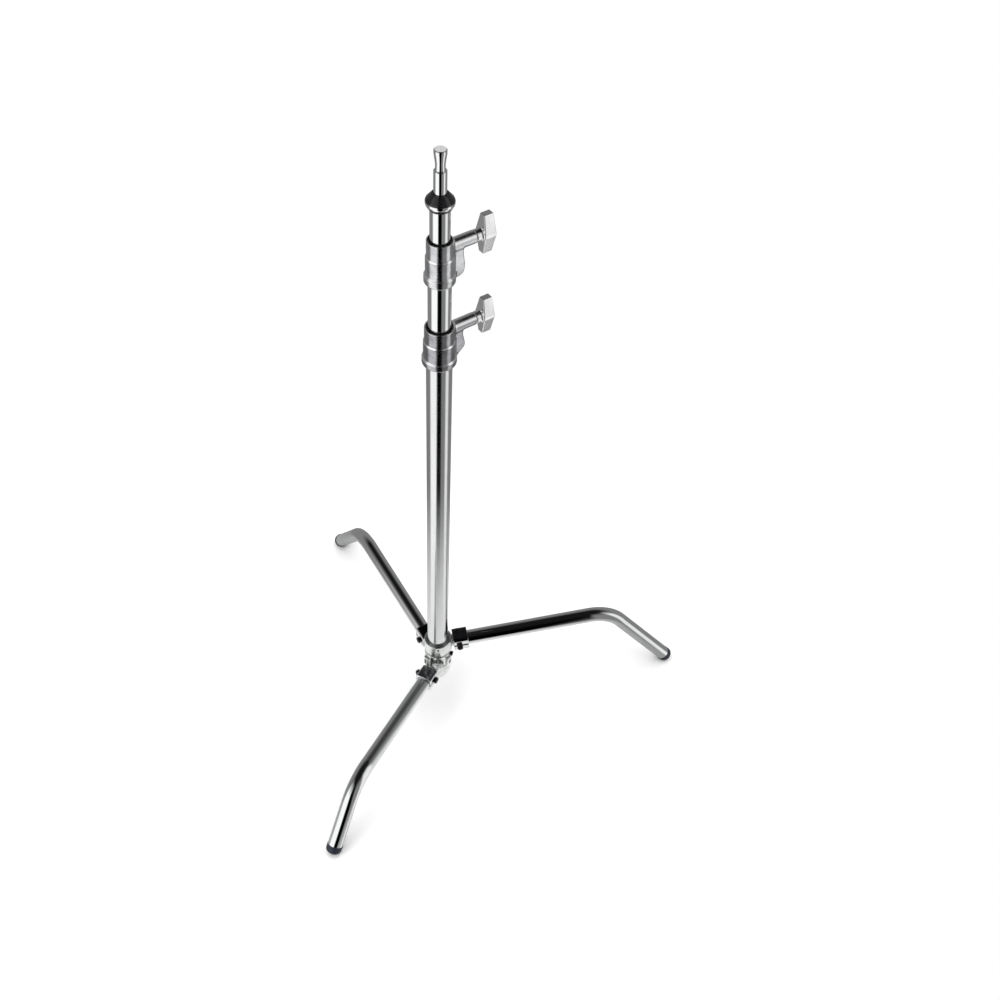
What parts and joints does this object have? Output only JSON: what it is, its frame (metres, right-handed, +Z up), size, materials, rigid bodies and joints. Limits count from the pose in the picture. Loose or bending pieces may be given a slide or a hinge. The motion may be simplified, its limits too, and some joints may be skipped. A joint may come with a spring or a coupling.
{
  "type": "c stand",
  "caption": "Telescoping chrome lighting stand on a folding base of bent legs at stacked heights, with T-knob clamp collars and a grooved stud on top.",
  "frame": {"origin": "floor level under the middle of the footprint's bounding box; the column's axis stands at x = -0.1156 m, y = -0.0132 m", "axes": "+Z up along the column, +X roughly towards the upper (tallest) leg, +Y completes the right-handed frame"},
  "size_m": [0.6482, 0.676, 1.1059],
  "materials": {
    "polished_chrome": "bright polished chrome plate with a few faint rub marks",
    "satin_chrome": "softer chrome plate, fine lengthwise polish lines",
    "cast_metal": "die-cast metal, satin grey-green, tumbled grain with brighter machined edges",
    "polished_casting": "die-cast metal buffed to a soft shine",
    "zinc_steel": "turned steel, zinc plated",
    "blackened_steel": "black oxide steel",
    "brass": "plain turned brass",
    "black_nylon": "black nylon",
    "gloss_black": "glossy black moulded ring",
    "black_rubber": "blue-black moulded rubber"
  },
  "bodies": {
    "base": {"hub_core": "zinc_steel", "base_cap": "cast_metal", "upper_thrust_washer": "black_nylon", "lower_thrust_washer": "black_nylon", "middle_leg_ring": "cast_metal", "middle_leg_sleeve": "polished_chrome", "middle_leg_tube": "polished_chrome", "middle_foot_cap": "black_rubber", "middle_leg_bolt": "blackened_steel", "middle_leg_nut": "blackened_steel", "leg_stop_bolt": "blackened_steel"},
    "upper_leg": {"upper_leg_ring": "cast_metal", "upper_leg_sleeve": "polished_chrome", "upper_leg_tube": "polished_chrome", "upper_foot_cap": "black_rubber", "upper_leg_bolt": "blackened_steel", "upper_leg_nut": "blackened_steel", "ring_grub_screw": "blackened_steel"},
    "lower_leg": {"lower_leg_ring": "cast_metal", "lower_leg_sleeve": "polished_chrome", "lower_leg_tube": "polished_chrome", "lower_foot_cap": "black_rubber", "lower_leg_bolt": "blackened_steel", "lower_leg_nut": "blackened_steel"},
    "lock_pad": {"base_lock_pad": "brass"},
    "lock_knob": {"base_lock_screw": "zinc_steel", "base_lock_knob": "cast_metal"},
    "column": {"base_tube": "satin_chrome", "column_spigot": "zinc_steel", "lower_collar": "cast_metal", "lower_collar_bush": "black_nylon"},
    "lower_shoe": {"lower_brake_shoe": "brass"},
    "lower_knob": {"lower_clamp_screw": "zinc_steel", "lower_t_knob": "polished_casting"},
    "riser_1": {"riser_1_tube": "polished_chrome", "riser_1_guide": "black_nylon", "upper_collar": "cast_metal", "upper_collar_bush": "black_nylon"},
    "upper_shoe": {"upper_brake_shoe": "brass"},
    "upper_knob": {"upper_clamp_screw": "zinc_steel", "upper_t_knob": "polished_casting"},
    "riser_2": {"riser_2_tube": "polished_chrome", "riser_2_guide": "black_nylon", "stud": "polished_chrome", "bumper_ring": "gloss_black", "stud_pin": "zinc_steel"}
  },
  "joints": [
    {"name": "upper_leg_swing", "type": "hinge", "parent": "base", "child": "upper_leg", "pos_m": [-0.11558, -0.01315, 0.14523], "axis": [0, 0, 1], "range_deg": [0, 111.3]},
    {"name": "lower_leg_swing", "type": "hinge", "parent": "base", "child": "lower_leg", "pos_m": [-0.11558, -0.01315, 0.08373], "axis": [0, 0, 1], "range_deg": [-121.8, 0]},
    {"name": "column_lift", "type": "slide", "parent": "base", "child": "column", "axis": [0, 0, 1], "range_m": [0, 0.08]},
    {"name": "lock_pad_slide", "type": "slide", "parent": "base", "child": "lock_pad", "axis": [0.0349, -0.9994, 0], "range_m": [0, 0.0008]},
    {"name": "lock_knob_turn", "type": "hinge", "parent": "lock_pad", "child": "lock_knob", "pos_m": [-0.11453, -0.04313, 0.12093], "axis": [0.0349, -0.9994, 0], "range_deg": [0, 288]},
    {"name": "lower_shoe_slide", "type": "slide", "parent": "column", "child": "lower_shoe", "axis": [0.829, 0.5592, 0], "range_m": [0, 0.0025]},
    {"name": "lower_knob_turn", "type": "hinge", "parent": "lower_shoe", "child": "lower_knob", "pos_m": [-0.05754, 0.02599, 0.84393], "axis": [0.829, 0.5592, 0], "range_deg": [0, 720]},
    {"name": "riser_1_slide", "type": "slide", "parent": "column", "child": "riser_1", "axis": [0, 0, 1], "range_m": [0, 0.6]},
    {"name": "upper_shoe_slide", "type": "slide", "parent": "riser_1", "child": "upper_shoe", "axis": [0.829, 0.5592, 0], "range_m": [0, 0.0025]},
    {"name": "upper_knob_turn", "type": "hinge", "parent": "upper_shoe", "child": "upper_knob", "pos_m": [-0.06086, 0.02376, 0.97193], "axis": [0.829, 0.5592, 0], "range_deg": [0, 720]},
    {"name": "riser_2_slide", "type": "slide", "parent": "riser_1", "child": "riser_2", "axis": [0, 0, 1], "range_m": [0, 0.68]}
  ],
  "couplings": [
    {"joint": "lock_pad_slide", "follows": "lock_knob_turn", "m_per_rad": 0.00015915},
    {"joint": "lower_shoe_slide", "follows": "lower_knob_turn", "m_per_rad": 0.00019894},
    {"joint": "upper_shoe_slide", "follows": "upper_knob_turn", "m_per_rad": 0.00019894}
  ]
}
